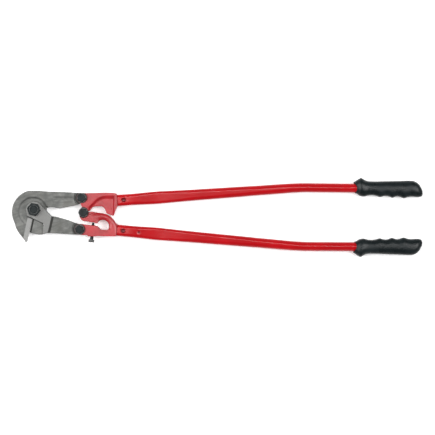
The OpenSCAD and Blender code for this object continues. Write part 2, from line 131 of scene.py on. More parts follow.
class Tree:
    def __init__(self, tree):
        self.tree = tree
        self.nodes = tree.nodes
        self.links = tree.links

    def add(self, kind, settings=None, **inputs):
        node = self.nodes.new(kind)
        for name, value in (settings or {}).items():
            setattr(node, name, value)
        for name, value in inputs.items():
            self.feed(node, name.replace("_", " "), value)
        return node

    def feed(self, node, name, value):
        socket = node.inputs[int(name)] if name.isdigit() else node.inputs[name]
        if isinstance(value, bpy.types.NodeSocket):
            self.links.new(value, socket)
        else:
            socket.default_value = value

    def math(self, operation, first, second=0.0, clamp=False):
        node = self.nodes.new("ShaderNodeMath")
        node.operation = operation
        node.use_clamp = clamp
        self.feed(node, "0", first)
        self.feed(node, "1", second)
        return node.outputs[0]

    def ramp(self, value, low, high):
        node = self.nodes.new("ShaderNodeMapRange")
        node.interpolation_type = "SMOOTHSTEP"
        self.feed(node, "Value", value)
        self.feed(node, "From Min", low)
        self.feed(node, "From Max", high)
        return node.outputs["Result"]

    def mix(self, share, first, second):
        node = self.nodes.new("ShaderNodeMix")
        node.data_type = "RGBA"
        self.feed(node, "0", share)
        self.feed(node, "6", first)
        self.feed(node, "7", second)
        return node.outputs[2]

    def noise(self, vector, scale, detail=2.0, roughness=0.5):
        node = self.nodes.new("ShaderNodeTexNoise")
        self.feed(node, "Vector", vector)
        self.feed(node, "Scale", scale)
        self.feed(node, "Detail", detail)
        self.feed(node, "Roughness", roughness)
        return node.outputs["Fac"]


def newGroup(name, inputs, outputs):
    group = bpy.data.node_groups.new(name, "ShaderNodeTree")
    for socketName, kind, value in inputs:
        socket = group.interface.new_socket(name=socketName, in_out="INPUT", socket_type=kind)
        if value is not None:
            socket.default_value = value
    for socketName, kind in outputs:
        group.interface.new_socket(name=socketName, in_out="OUTPUT", socket_type=kind)
    tree = Tree(group)
    return group, tree, tree.add("NodeGroupInput"), tree.add("NodeGroupOutput")


number, vector = "NodeSocketFloat", "NodeSocketVector"


# Forged skin: broad mottling, fine grain and small scale pits
def makeForgedSkin():
    group, tree, source, sink = newGroup("forgedSkin", [
        ("Position", vector, None), ("Grain size", number, 1.0), ("Pits", number, 0.5)],
        [("Mottle", number), ("Grain", number), ("Height", number)])
    scaled = tree.add("ShaderNodeVectorMath", {"operation": "SCALE"})
    tree.feed(scaled, "Vector", source.outputs["Position"])
    tree.feed(scaled, "Scale", tree.math("DIVIDE", 1.0, source.outputs["Grain size"]))
    place = scaled.outputs["Vector"]
    mottle = tree.noise(place, 55.0, 4.0, 0.62)
    grain = tree.noise(place, 700.0, 4.0, 0.65)
    lumps = tree.noise(place, 240.0, 2.0, 0.5)
    pitCells = tree.add("ShaderNodeTexVoronoi", {"feature": "F1"}, Vector=place, Scale=420.0)
    pits = tree.ramp(pitCells.outputs["Distance"], 0.28, 0.05)
    height = tree.math("ADD", tree.math("MULTIPLY", grain, 0.45), tree.math("MULTIPLY", lumps, 0.8))
    deep = tree.math("MULTIPLY", pits, source.outputs["Pits"])
    tree.feed(sink, "Mottle", tree.ramp(mottle, 0.3, 0.7))
    tree.feed(sink, "Grain", grain)
    tree.feed(sink, "Height", tree.math("SUBTRACT", height, deep))
    return group


# Wear on outer edges; dirt and painted shade in inner corners
def makeEdgeWearCornerShade():
    group, tree, source, sink = newGroup("edgeWear", [
        ("Position", vector, None), ("Amount", number, 1.0), ("Break-up", number, 1.0)],
        [("Worn", number), ("Corner", number)])
    pointed = tree.add("ShaderNodeNewGeometry").outputs["Pointiness"]
    patches = tree.noise(source.outputs["Position"], 160.0, 4.0, 0.7)
    broken = tree.math("MULTIPLY", tree.math("SUBTRACT", patches, 0.5), source.outputs["Break-up"])
    level = tree.math("ADD", tree.ramp(pointed, 0.505, 0.56), tree.math("MULTIPLY", broken, 1.6))
    worn = tree.math("MULTIPLY", tree.ramp(level, 0.55, 0.95), source.outputs["Amount"], True)
    outer = tree.ramp(pointed, 0.503, 0.52)
    tree.feed(sink, "Worn", tree.math("MULTIPLY", worn, outer))
    # inner corners: dirt and painted shade
    tree.feed(sink, "Corner", tree.ramp(pointed, 0.495, 0.45))
    return group


# Fine parallel scratches along X of the given position
def makeGroundLines():
    group, tree, source, sink = newGroup("groundLines", [
        ("Position", vector, None), ("Stretch", number, 18.0), ("Fineness", number, 900.0)],
        [("Lines", number)])
    stretched = tree.add("ShaderNodeCombineXYZ")
    parts = tree.add("ShaderNodeSeparateXYZ", Vector=source.outputs["Position"])
    tree.feed(stretched, "X", tree.math("DIVIDE", parts.outputs["X"], source.outputs["Stretch"]))
    tree.feed(stretched, "Y", parts.outputs["Y"])
    tree.feed(stretched, "Z", parts.outputs["Z"])
    tree.feed(sink, "Lines", tree.noise(stretched.outputs[0], source.outputs["Fineness"], 3.0, 0.6))
    return group


forgedSkin = makeForgedSkin()
edgeWear = makeEdgeWearCornerShade()
groundLines = makeGroundLines()


def startMaterial(name):
    material = bpy.data.materials.new(name)
    material.use_nodes = True
    tree = Tree(material.node_tree)
    shader = material.node_tree.nodes["Principled BSDF"]
    place = tree.add("ShaderNodeTexCoord").outputs["Object"]
    return material, tree, shader, place


def useGroup(tree, group, **inputs):
    node = tree.nodes.new("ShaderNodeGroup")
    node.node_tree = group
    for name, value in inputs.items():
        tree.feed(node, name.replace("_", " "), value)
    return node.outputs


def axisDistance(tree, place, axisAt):
    flat = tree.add("ShaderNodeVectorMath", {"operation": "MULTIPLY"})
    tree.feed(flat, "0", place)
    tree.feed(flat, "1", (1, 1, 0))
    away = tree.add("ShaderNodeVectorMath", {"operation": "DISTANCE"})
    tree.feed(away, "0", flat.outputs["Vector"])
    tree.feed(away, "1", (axisAt.x, axisAt.y, 0))
    return away.outputs["Value"]


# 1 inside the given distance of an upright axis, fading out over the last stretch
def nearAxis(tree, place, axisAt, radius, fade):
    return tree.ramp(axisDistance(tree, place, axisAt), radius, radius - fade)


# 1 between two lines beside the direction of the angle, from the start onwards
def bandMask(tree, place, angle, low, high, start, fade):
    turned = tree.add("ShaderNodeMapping", Vector=place, Rotation=(0, 0, -angle)).outputs[0]
    parts = tree.add("ShaderNodeSeparateXYZ", Vector=turned)
    above = tree.ramp(parts.outputs["Y"], low - fade, low)
    below = tree.ramp(parts.outputs["Y"], high + fade, high)
    inside = tree.math("MULTIPLY", above, below)
    return tree.math("MULTIPLY", inside, tree.ramp(parts.outputs["X"], start - 4 * mm, start)), turned


def addBump(tree, shader, height, strength, distance):
    bump = tree.add("ShaderNodeBump", Height=height, Strength=strength, Distance=distance)
    tree.feed(shader, "Normal", bump.outputs["Normal"])


jawFinish = {
    "skin": (0.22, 0.222, 0.213, 1), "skinDark": (0.115, 0.118, 0.112, 1),
    "ground": (0.162, 0.162, 0.158, 1), "scaleBrown": (0.155, 0.147, 0.13, 1),
    "whetted": (0.42, 0.42, 0.41, 1), "blackScaleAndShade": (0.035, 0.035, 0.033, 1),
    "metal": 0.85, "roughSkin": 0.5, "roughGround": 0.34, "roughGrain": 0.16,
    "pits": 0.35, "wear": 0.7, "wornShare": 0.6, "cornerDirtShadeShare": 0.25, "paintedShadeShare": 0.9,
    "grindAngle": math.radians(-20), "grindStretch": 14.0, "strokeStretch": 0.06,
    "flowStretch": 7.0, "flowFineness": 130.0, "brownScale": 24.0, "brownShare": 0.35,
    "turnedAt": Vector((-3, -5, 0)) * mm, "turnedRadius": 50 * mm, "turnedFade": 16 * mm,
    "turnedFineness": 330.0, "recessRadius": 18 * mm, "recessFade": 2.5 * mm, "recessShadeShare": 0.85,
    "heightFade": 0.25 * mm, "bandFade": 0.3 * mm, "bump": 0.5, "bumpDepth": 0.25 * mm,
}


# Forged jaws: dull skin, with bright ground faces above the given height over the middle.
# A facet or painted shade band is angle, nearer line, further line and start along the angle
def makeJawSteel(name, brightAbove, linkAt, facet, paintedShades, turnedShare):
    material, tree, shader, place = startMaterial(name)
    dark, black, fade = jawFinish["skinDark"], jawFinish["blackScaleAndShade"], jawFinish["bandFade"]
    skin = useGroup(tree, forgedSkin, Position=place, Grain_size=1.0, Pits=jawFinish["pits"])
    wear = useGroup(tree, edgeWear, Position=place, Amount=jawFinish["wear"])
    turned = tree.add("ShaderNodeMapping", Vector=place, Rotation=(0, 0, jawFinish["grindAngle"]))
    lines = useGroup(tree, groundLines, Position=turned.outputs[0],
                     Stretch=jawFinish["grindStretch"])
    parts = tree.add("ShaderNodeSeparateXYZ", Vector=place)
    above = tree.math("ABSOLUTE", tree.math("SUBTRACT", parts.outputs["Z"], midZ))
    ground = tree.ramp(above, brightAbove - jawFinish["heightFade"], brightAbove)

    # forged skin with its flow lines and brown scale, then the ground faces
    base = tree.mix(skin["Mottle"], dark, jawFinish["skin"])
    flow = useGroup(tree, groundLines, Position=turned.outputs[0],
                    Stretch=jawFinish["flowStretch"], Fineness=jawFinish["flowFineness"])
    base = tree.mix(tree.ramp(flow["Lines"], 0.35, 0.75), base, dark)
    brown = tree.ramp(tree.noise(place, jawFinish["brownScale"], 3.0, 0.6), 0.52, 0.75)
    brown = tree.math("MULTIPLY", brown, jawFinish["brownShare"])
    base = tree.mix(brown, base, jawFinish["scaleBrown"])
    scratched = tree.math("MULTIPLY", lines["Lines"], 0.5)
    base = tree.mix(ground, base, tree.mix(scratched, jawFinish["ground"], jawFinish["skin"]))

    # rings left by turning around the dish
    away = axisDistance(tree, place, jawFinish["turnedAt"])
    outwards = tree.add("ShaderNodeCombineXYZ", X=away).outputs[0]
    rings = tree.noise(outwards, jawFinish["turnedFineness"], 2.0, 0.6)
    reach = nearAxis(tree, place, jawFinish["turnedAt"],
                     jawFinish["turnedRadius"], jawFinish["turnedFade"])
    reach = tree.math("MULTIPLY", reach, turnedShare)
    base = tree.mix(tree.math("MULTIPLY", tree.ramp(rings, 0.42, 0.68), reach), base, dark)

    # painted shade on the steep ground slopes, the cutting facet is whetted bright
    for paintedShade in paintedShades:
        paintedShadeMask, _ = bandMask(tree, place, *paintedShade, fade)
        base = tree.mix(tree.math("MULTIPLY", paintedShadeMask, jawFinish["paintedShadeShare"]), base, black)
    inside, alongEdge = bandMask(tree, place, *facet, fade)
    strokes = useGroup(tree, groundLines, Position=alongEdge, Stretch=jawFinish["strokeStretch"])
    whetted = tree.mix(strokes["Lines"], jawFinish["whetted"], jawFinish["ground"])
    base = tree.mix(inside, base, whetted)

    # worn edges, dirt and painted shade in corners, and black scale with painted shade in the recess
    # around the link
    worn = tree.math("MULTIPLY", wear["Worn"], jawFinish["wornShare"])
    base = tree.mix(worn, base, jawFinish["ground"])
    corner = tree.math("MULTIPLY", wear["Corner"], jawFinish["cornerDirtShadeShare"])
    base = tree.mix(corner, base, black)
    # painted shade over black scale in the recess around the link
    recessShade = nearAxis(tree, place, linkAt, jawFinish["recessRadius"], jawFinish["recessFade"])
    base = tree.mix(tree.math("MULTIPLY", recessShade, jawFinish["recessShadeShare"]), base, black)
    tree.feed(shader, "Base Color", base)
    shader.inputs["Metallic"].default_value = jawFinish["metal"]

    grain = tree.math("MULTIPLY", skin["Grain"], jawFinish["roughGrain"])
    rough = tree.math("ADD", jawFinish["roughSkin"], grain)
    smoothed = tree.math("MULTIPLY", ground, jawFinish["roughSkin"] - jawFinish["roughGround"])
    tree.feed(shader, "Roughness", tree.math("SUBTRACT", rough, smoothed))
    rest = tree.math("SUBTRACT", 1.0, tree.math("MULTIPLY", ground, 0.7))
    raised = tree.math("MULTIPLY", skin["Height"], rest)
    height = tree.math("ADD", raised, tree.math("MULTIPLY", lines["Lines"], 0.35))
    addBump(tree, shader, height, jawFinish["bump"], jawFinish["bumpDepth"])
    return material


boltFinish = {
    "oxide": (0.006, 0.0085, 0.009, 1), "oxideLight": (0.016, 0.021, 0.022, 1),
    "bare": (0.3, 0.3, 0.29, 1), "metal": 0.5, "specular": 0.34,
    "grainSize": 0.6, "pits": 0.15, "wear": 0.35, "rough": 0.3, "roughGrain": 0.22,
    "bump": 0.25, "bumpDepth": 0.12 * mm,
}


def makeBoltSteel():
    material, tree, shader, place = startMaterial("blackOxide")
    skin = useGroup(tree, forgedSkin, Position=place, Grain_size=boltFinish["grainSize"],
                    Pits=boltFinish["pits"])
    wear = useGroup(tree, edgeWear, Position=place, Amount=boltFinish["wear"])
    base = tree.mix(skin["Mottle"], boltFinish["oxide"], boltFinish["oxideLight"])
    base = tree.mix(wear["Worn"], base, boltFinish["bare"])
    tree.feed(shader, "Base Color", base)
    shader.inputs["Metallic"].default_value = boltFinish["metal"]
    shader.inputs["Specular IOR Level"].default_value = boltFinish["specular"]
    grain = tree.math("MULTIPLY", skin["Grain"], boltFinish["roughGrain"])
    tree.feed(shader, "Roughness", tree.math("ADD", boltFinish["rough"], grain))
    addBump(tree, shader, skin["Height"], boltFinish["bump"], boltFinish["bumpDepth"])
    return material


yokeFinish = {
    "paint": (0.44, 0.010, 0.018, 1), "paintDeep": (0.31, 0.006, 0.010, 1),
    "primer": (0.10, 0.012, 0.012, 1), "milled": (0.035, 0.03, 0.03, 1),
    "milledRadius": 13.0 * mm, "milledFade": 0.5 * mm, "milledShadeShare": 0.9,
    "grainSize": 1.5, "pits": 0.7, "wear": 0.5, "wornShare": 0.3, "cornerDirtShadeShare": 0.6,
    "rough": 0.32, "roughGrain": 0.14, "coat": 0.3, "coatRough": 0.3,
    "bump": 0.75, "bumpDepth": 0.5 * mm,
}


def makeYokePaint():
    material, tree, shader, place = startMaterial("yokeEnamel")
    skin = useGroup(tree, forgedSkin, Position=place, Grain_size=yokeFinish["grainSize"],
                    Pits=yokeFinish["pits"])
    wear = useGroup(tree, edgeWear, Position=place, Amount=yokeFinish["wear"])
    base = tree.mix(skin["Mottle"], yokeFinish["paintDeep"], yokeFinish["paint"])
    # primer shows on worn edges; dirt and painted shade darken the inner corners
    for mask, share in (("Worn", "wornShare"), ("Corner", "cornerDirtShadeShare")):
        wearDirtShade = tree.math("MULTIPLY", wear[mask], yokeFinish[share])
        base = tree.mix(wearDirtShade, base, yokeFinish["primer"])
    # painted shade around the link washers, on the bare faces milled for them
    for pivot in linkPivots:
        milled = nearAxis(tree, place, pivot, yokeFinish["milledRadius"], yokeFinish["milledFade"])
        milled = tree.math("MULTIPLY", milled, yokeFinish["milledShadeShare"])
        base = tree.mix(milled, base, yokeFinish["milled"])
    tree.feed(shader, "Base Color", base)
    grain = tree.math("MULTIPLY", skin["Grain"], yokeFinish["roughGrain"])
    tree.feed(shader, "Roughness", tree.math("ADD", yokeFinish["rough"], grain))
    shader.inputs["Coat Weight"].default_value = yokeFinish["coat"]
    shader.inputs["Coat Roughness"].default_value = yokeFinish["coatRough"]
    addBump(tree, shader, skin["Height"], yokeFinish["bump"], yokeFinish["bumpDepth"])
    return material


tubeFinish = {
    "paint": (0.45, 0.004, 0.008, 1), "paintDeep": (0.38, 0.003, 0.006, 1),
    "primer": (0.10, 0.012, 0.012, 1), "dent": (0.12, 0.003, 0.006, 1), "dentFade": 3 * mm,
    "wear": 0.6, "cornerDirtShadeShare": 0.7, "rough": 0.14, "roughDust": 0.12,
    "specular": 0.24, "coat": 0.22, "coatRough": 0.05, "bump": 0.12, "bumpDepth": 0.15 * mm,
}


# Painted shade darkens the paint in the staking dents
def makeTubePaint(dentShadeSpots):
    material, tree, shader, place = startMaterial("tubeEnamel")
    peel = tree.noise(place, 420.0, 2.0, 0.45)
    cloud = tree.ramp(tree.noise(place, 16.0, 3.0, 0.6), 0.35, 0.7)
    wear = useGroup(tree, edgeWear, Position=place, Amount=tubeFinish["wear"])
    base = tree.mix(cloud, tubeFinish["paintDeep"], tubeFinish["paint"])
    # dirt and painted shade in inner corners, in primer colour
    corner = tree.math("MULTIPLY", wear["Corner"], tubeFinish["cornerDirtShadeShare"])
    base = tree.mix(corner, base, tubeFinish["primer"])
    # painted shade in each staking dent
    for spot, radius in dentShadeSpots:
        dentShadeMask = nearAxis(tree, place, spot, radius, tubeFinish["dentFade"])
        base = tree.mix(dentShadeMask, base, tubeFinish["dent"])
    tree.feed(shader, "Base Color", base)
    dust = tree.math("MULTIPLY", tree.noise(place, 90.0, 5.0, 0.7), tubeFinish["roughDust"])
    tree.feed(shader, "Roughness", tree.math("ADD", tubeFinish["rough"], dust))
    shader.inputs["Specular IOR Level"].default_value = tubeFinish["specular"]
    shader.inputs["Coat Weight"].default_value = tubeFinish["coat"]
    shader.inputs["Coat Roughness"].default_value = tubeFinish["coatRough"]
    addBump(tree, shader, peel, tubeFinish["bump"], tubeFinish["bumpDepth"])
    return material


rubberFinish = {
    "black": (0.0065, 0.0098, 0.0108, 1), "bloom": (0.016, 0.023, 0.026, 1), "bloomShare": 0.6,
    "rough": 0.26, "roughBloom": 0.2, "specular": 0.22, "bump": 0.35, "bumpDepth": 0.18 * mm,
}


def makeGripRubber():
    material, tree, shader, place = startMaterial("mouldedRubber")
    grain = tree.noise(place, 1300.0, 3.0, 0.6)
    bloom = tree.ramp(tree.noise(place, 34.0, 4.0, 0.6), 0.4, 0.75)
    leather = tree.add("ShaderNodeTexVoronoi", {"feature": "DISTANCE_TO_EDGE"},
                       Vector=place, Scale=620.0)
    creases = tree.ramp(leather.outputs["Distance"], 0.0, 0.16)
    bloomed = tree.math("MULTIPLY", bloom, rubberFinish["bloomShare"])
    base = tree.mix(bloomed, rubberFinish["black"], rubberFinish["bloom"])
    tree.feed(shader, "Base Color", base)
    dull = tree.math("MULTIPLY", bloom, rubberFinish["roughBloom"])
    tree.feed(shader, "Roughness", tree.math("ADD", rubberFinish["rough"], dull))
    shader.inputs["Specular IOR Level"].default_value = rubberFinish["specular"]
    height = tree.math("ADD", tree.math("MULTIPLY", grain, 0.5), tree.math("MULTIPLY", creases, 0.6))
    addBump(tree, shader, height, rubberFinish["bump"], rubberFinish["bumpDepth"])
    return material


# Ground faces of the jaws and bands of painted shade on them; a pair of numbers is the nearer and
# further line of a face
jawFaces = {
    "edgeAngle": math.radians(257.5), "edgeStart": 24 * mm, "hookFacet": (-11 * mm, 0),
    "bladeFacet": (-1 * mm, 0.3 * mm), "bladeBevelShade": (0.6 * mm, 4.6 * mm),
    "legTop": Vector((39.5, -15.5)) * mm, "legFoot": Vector((30.5, -54.3)) * mm,
    "legSlope": (0.3 * mm, 5.6 * mm), "hookBrightAbove": 20 * mm, "legBrightAbove": 9.2 * mm,
    "hookTurned": 0.55, "legTurned": 0.0,
}


# A spot's distance along and across a direction
def alongAcross(spot, angle):
    c, s = math.cos(angle), math.sin(angle)
    return spot.x * c + spot.y * s, spot.y * c - spot.x * s


def edgeBand(face):
    return (jawFaces["edgeAngle"], *jawFaces[face], jawFaces["edgeStart"])


legRun = jawFaces["legFoot"] - jawFaces["legTop"]
legAngle = math.atan2(legRun.y, legRun.x)
legAlong, legAcross = alongAcross(jawFaces["legTop"], legAngle)
# a band of painted shade down the leg's slope
legSlope = (legAngle, legAcross + jawFaces["legSlope"][0], legAcross + jawFaces["legSlope"][1], legAlong)
upperJawSteel = makeJawSteel("hookSteel", jawFaces["hookBrightAbove"], linkPivots[0],
                             edgeBand("hookFacet"), [], jawFaces["hookTurned"])
# the lower jaw's blade bevel and leg slope are given painted shade
lowerJawSteel = makeJawSteel("legSteel", jawFaces["legBrightAbove"], linkPivots[1],
                             edgeBand("bladeFacet"), [edgeBand("bladeBevelShade"), legSlope],
                             jawFaces["legTurned"])
blackOxide = makeBoltSteel()
yokeEnamel = makeYokePaint()
mouldedRubber = makeGripRubber()
print("materials made")


forging = {
    "jawVoxel": 0.65 * mm, "jawRounds": 3, "yokeVoxel": 0.7 * mm, "yokeRounds": 9, "factor": 0.5,
}


# A forging: the CAD body with its edges and inner corners rounded all over
def forgedPiece(name, nodeName, kind, material, body, slot):
    mesh = meshFrom(cleanCopy(nodeName), name)
    piece = addPiece(name, mesh, material, body, slot, nodeName)
    remesh = piece.modifiers.new("skin", "REMESH")
    remesh.mode = "VOXEL"
    remesh.voxel_size = forging[kind + "Voxel"]
    remesh.use_smooth_shade = True
    soften = piece.modifiers.new("rounding", "SMOOTH")
    soften.factor = forging["factor"]
    soften.iterations = forging[kind + "Rounds"]
    graph = bpy.context.evaluated_depsgraph_get()
    finished = bpy.data.meshes.new_from_object(piece.evaluated_get(graph))
    piece.modifiers.clear()
    piece.data = finished
    piece.data.materials.clear()
    piece.data.materials.append(material)
    print(name, "forged,", len(finished.polygons), "faces")
    return piece


# The curved rib over the lower yoke's window is crowned; its two arcs start from the tube's end
rib = {
    "window": Vector((157.5, -39.0)), "windowRadius": 15.0,
    "arc": Vector((150.2, -50.0)), "arcRadius": 42.0,
    "drop": 3.0, "faceAbove": 8.6, "startTurn": (-35, -5), "endTurn": (100, 150), "margin": -2,
}


def crownRib(piece):
    bm = bmesh.new()
    bm.from_mesh(piece.data)
    for vert in bm.verts:
        height = (vert.co.z - midZ) / mm
        if abs(height) < rib["faceAbove"]:
            continue
        spot = Vector((vert.co.x, vert.co.y)) / mm
        fromWindow = (spot - rib["window"]).length - rib["windowRadius"]
        fromArc = rib["arcRadius"] - (spot - rib["arc"]).length
        turn = math.degrees(math.atan2(spot.y - rib["window"].y, spot.x - rib["window"].x))
        part = smoothStep(*rib["startTurn"], turn) * (1 - smoothStep(*rib["endTurn"], turn))
        if min(fromArc, fromWindow) < rib["margin"] or part <= 0:
            continue
        share = min(1.0, max(0.0, fromWindow / max(0.1, fromWindow + fromArc)))
        fall = rib["drop"] * (2 * share - 1) ** 2 * part
        vert.co.z -= math.copysign(fall * mm, height)
    bm.to_mesh(piece.data)
    bm.free()


# the edge zone is kept: where it starts, and how far it reaches to each side
dish = {
    "centre": Vector((-3.0, -5.0)), "radius": 32.8, "reach": 3.4, "above": 3.0, "rounds": 40,
    "edgeStart": 12, "edgeSides": (-13, 8),
}


# The step of the hook's dish is ground soft, clear of the cutting edge
def softenDish(piece):
    bm = bmesh.new()
    bm.from_mesh(piece.data)
    step = []
    for vert in bm.verts:
        spot = Vector((vert.co.x, vert.co.y)) / mm
        onStep = abs((spot - dish["centre"]).length - dish["radius"]) < dish["reach"]
        along, across = alongAcross(spot, jawFaces["edgeAngle"])
        low, high = dish["edgeSides"]
        nearEdge = along > dish["edgeStart"] and low < across < high
        if onStep and not nearEdge and abs(vert.co.z - midZ) / mm > dish["above"]:
            step.append(vert)
    for _ in range(dish["rounds"]):
        bmesh.ops.smooth_vert(bm, verts=step, factor=forging["factor"], use_axis_z=True)
    bm.to_mesh(piece.data)
    bm.free()


hook = forgedPiece("hookedUpperJaw", "upper_jaw", "jaw", upperJawSteel, "upper_jaw_body", "jaw_steel")
softenDish(hook)
forgedPiece("bladeLowerJaw", "lower_jaw", "jaw", lowerJawSteel, "lower_jaw_body", "jaw_steel")
lowerYoke = forgedPiece("lowerForgedYoke", "lower_yoke", "yoke", yokeEnamel,
                        "lower_handle", "yoke_paint")
crownRib(lowerYoke)
forgedPiece("upperForgedYoke", "upper_yoke", "yoke", yokeEnamel, "upper_handle", "yoke_paint")


fastening = {"edge": 0.25 * mm, "segments": 2, "sharp": math.radians(20)}
fastenerBody = {
    "jaw_pivot": "lower_jaw_body", "lower_link": "lower_handle",
    "upper_link": "upper_handle", "handle_pivot": "upper_handle",
}


def fastener(nodeName, body):
    bm = cleanCopy(nodeName)
    sharp = [edge for edge in bm.edges
             if len(edge.link_faces) == 2 and edge.calc_face_angle(0) > fastening["sharp"]]
    bmesh.ops.bevel(bm, geom=sharp, offset=fastening["edge"], offset_type="OFFSET",
                    segments=fastening["segments"], profile=0.5, affect="EDGES",
                    clamp_overlap=True, material=-1)
    name = "".join(part.capitalize() for part in nodeName.split("_"))
    name = name[0].lower() + name[1:] + "Steel"
    return flatShading(addPiece(name, meshFrom(bm, name), blackOxide, body, "bolt_steel", nodeName))


for place, body in fastenerBody.items():
    for kind in ("bolt", "washer", "nut"):
        fastener(f"{place}_{kind}", body)
fastener("adjusting_screw", "adjuster")
print("fasteners made")


handleShape = {
    "tilt": math.radians(-0.5), "spread": 68.8 * mm, "splay": math.radians(4.56),
    "spine": Vector((77.5 * mm, -6.6 * mm, 0)), "length": 695 * mm, "wall": 2.2 * mm,
    "diameter": 21.2 * mm, "bendStart": 396 * mm, "bendRadius": 640 * mm, "bend": math.radians(4.71),
    # distance from the yoke, extra width, lost thickness, in millimetres
    "flattening": [(0, 5.2, 6.8), (36, 5.2, 6.8), (63, 6.3, 8.9), (90, 7.7, 10.4), (118, 6.7, 9.4),
                   (150, 5.4, 7.8), (180, 4.5, 6.4), (230, 3.6, 5), (285, 2.6, 3.9), (325, 1.6, 2.4),
                   (380, 1.1, 1.6), (450, 0, 0), (900, 0, 0)],
    "innerStations": [440, 420, 396, 325, 230, 150, 118, 90, 63, 36, 0], "lip": 0.35 * mm,
    "sides": 96, "fineUntil": 64, "fineStep": 1.0, "coarseStep": 7.0, "cornerSpread": 2.2,
}


# From the tube's own line, starting at the yoke, to the tool's frame
def handleFrame(side):
    corner = jointAt["handle_opening"] + handleShape["spine"]
    flip = Matrix.Diagonal((1, side, 1, 1))
    lift = Matrix.Translation((0, handleShape["spread"] / 2, 0))
    return (Matrix.Translation((corner.x, corner.y, midZ)) @ Matrix.Rotation(handleShape["tilt"], 4, "Z")
            @ flip @ lift @ Matrix.Rotation(handleShape["splay"], 4, "Z"))


def pathTurn(s):
    turned = (s - handleShape["bendStart"]) / handleShape["bendRadius"]
    return -min(handleShape["bend"], max(0.0, turned))


def pathPoint(s):
    start, radius, bend = handleShape["bendStart"], handleShape["bendRadius"], handleShape["bend"]
    if s <= start:
        return Vector((s, 0, 0))
    turn = -pathTurn(s)
    point = Vector((start + radius * math.sin(turn), -radius * (1 - math.cos(turn)), 0))
    beyond = s - start - radius * bend
    if beyond > 0:
        point += Vector((math.cos(bend), -math.sin(bend), 0)) * beyond
    return point


# A skin through rings of points; each ring is extruded from the one before
def sweep(rings, closedLoop):
    count = len(rings[0])
    bm = bmesh.new()
    made = bmesh.ops.create_circle(bm, segments=count, radius=1.0, cap_ends=False)
    ring = list(made["verts"])
    ring.sort(key=lambda vert: math.atan2(vert.co.y, vert.co.x) % (2 * math.pi))
    firstEdges = edges = list(bm.edges)
    for vert, spot in zip(ring, rings[0]):
        vert.co = spot
    for spots in rings[1:]:
        geom = bmesh.ops.extrude_edge_only(bm, edges=edges)["geom"]
        fresh = {}
        newVerts = {item for item in geom if isinstance(item, bmesh.types.BMVert)}
        edges = [item for item in geom if isinstance(item, bmesh.types.BMEdge)
                 and item.verts[0] in newVerts and item.verts[1] in newVerts]
        for old in ring:
            for edge in old.link_edges:
                other = edge.other_vert(old)
                if other in newVerts:
                    fresh[old] = other
        ring = [fresh[old] for old in ring]
        for vert, spot in zip(ring, spots):
            vert.co = spot
    if closedLoop:
        bmesh.ops.bridge_loops(bm, edges=firstEdges + edges)
    else:
        bmesh.ops.contextual_create(bm, geom=firstEdges)
        bmesh.ops.contextual_create(bm, geom=edges)
    return bm


# The lower handle is mirrored, so its faces are turned outwards after the move
def placeShape(bm, matrix):
    bm.transform(matrix)
    bm.normal_update()
    bmesh.ops.recalc_face_normals(bm, faces=bm.faces)


# Staking dents: distance from the yoke, half length, half width, depth, in millimetres
dents = {1: [(15.5, 6.8, 4.6, 1.9)], -1: [(14.5, 6.8, 4.6, 1.9), (51.0, 4.2, 5.0, 0.5)]}


def tubeRing(side, s, inset):
    distance = s * 1000
    wide = handleShape["diameter"] + curveValue(handleShape["flattening"], distance, 1) * mm - 2 * inset
    thick = handleShape["diameter"] - curveValue(handleShape["flattening"], distance, 2) * mm - 2 * inset
    turn, centre = pathTurn(s), pathPoint(s)
    spots = []
    for index in range(handleShape["sides"]):
        angle = (index + 0.5) * 2 * math.pi / handleShape["sides"]
        flat = max(0.0, wide - thick) / 2
        # corners are spread along the flats too
        across = flat * max(-1.0, min(1.0, handleShape["cornerSpread"] * math.cos(angle)))
        y = across + thick / 2 * math.cos(angle)
        y = y * (wide / 2) / (flat + thick / 2)
        rest = max(0.0, abs(y) - flat)
        z = math.copysign(math.sqrt(max(0.0, (thick / 2) ** 2 - rest ** 2)), math.sin(angle))
        if inset == 0:
            for along, halfLength, halfWidth, depth in dents[side]:
                reach = math.hypot((distance - along) / halfLength, y * 1000 / halfWidth)
                z -= math.copysign(depth * mm * (1 - smoothStep(0.62, 1.05, reach)), z)
        spots.append(centre + Vector((-y * math.sin(turn), y * math.cos(turn), z)))
    return spots


def makeTube(side, name, nodeName, body):
    fine, step = handleShape["fineUntil"], handleShape["fineStep"]
    outer = [index * step for index in range(int(fine / step))]
    far = handleShape["length"] * 1000
    count = int((far - fine) / handleShape["coarseStep"])
    outer += [fine + (far - fine) * index / count for index in range(count + 1)]
    lip = handleShape["lip"]
    rings = [tubeRing(side, 0, lip)] + [tubeRing(side, max(s * mm, lip), 0) for s in outer]
    rings += [tubeRing(side, s * mm, handleShape["wall"]) for s in [far] + handleShape["innerStations"]]
    bm = sweep(rings, True)
    placeShape(bm, handleFrame(side))
    return addPiece(name, meshFrom(bm, name), tubeEnamel, body, "tube_paint", nodeName)


# spots where the staking dents get painted shade
dentShadeSpots = [(handleFrame(side) @ pathPoint(along * mm), halfLength * mm)
             for side in dents for along, halfLength, _, _ in dents[side]]
tubeEnamel = makeTubePaint(dentShadeSpots)
makeTube(1, "upperHandleTube", "upper_tube", "upper_handle")
makeTube(-1, "lowerHandleTube", "lower_tube", "lower_handle")
print("tubes made")


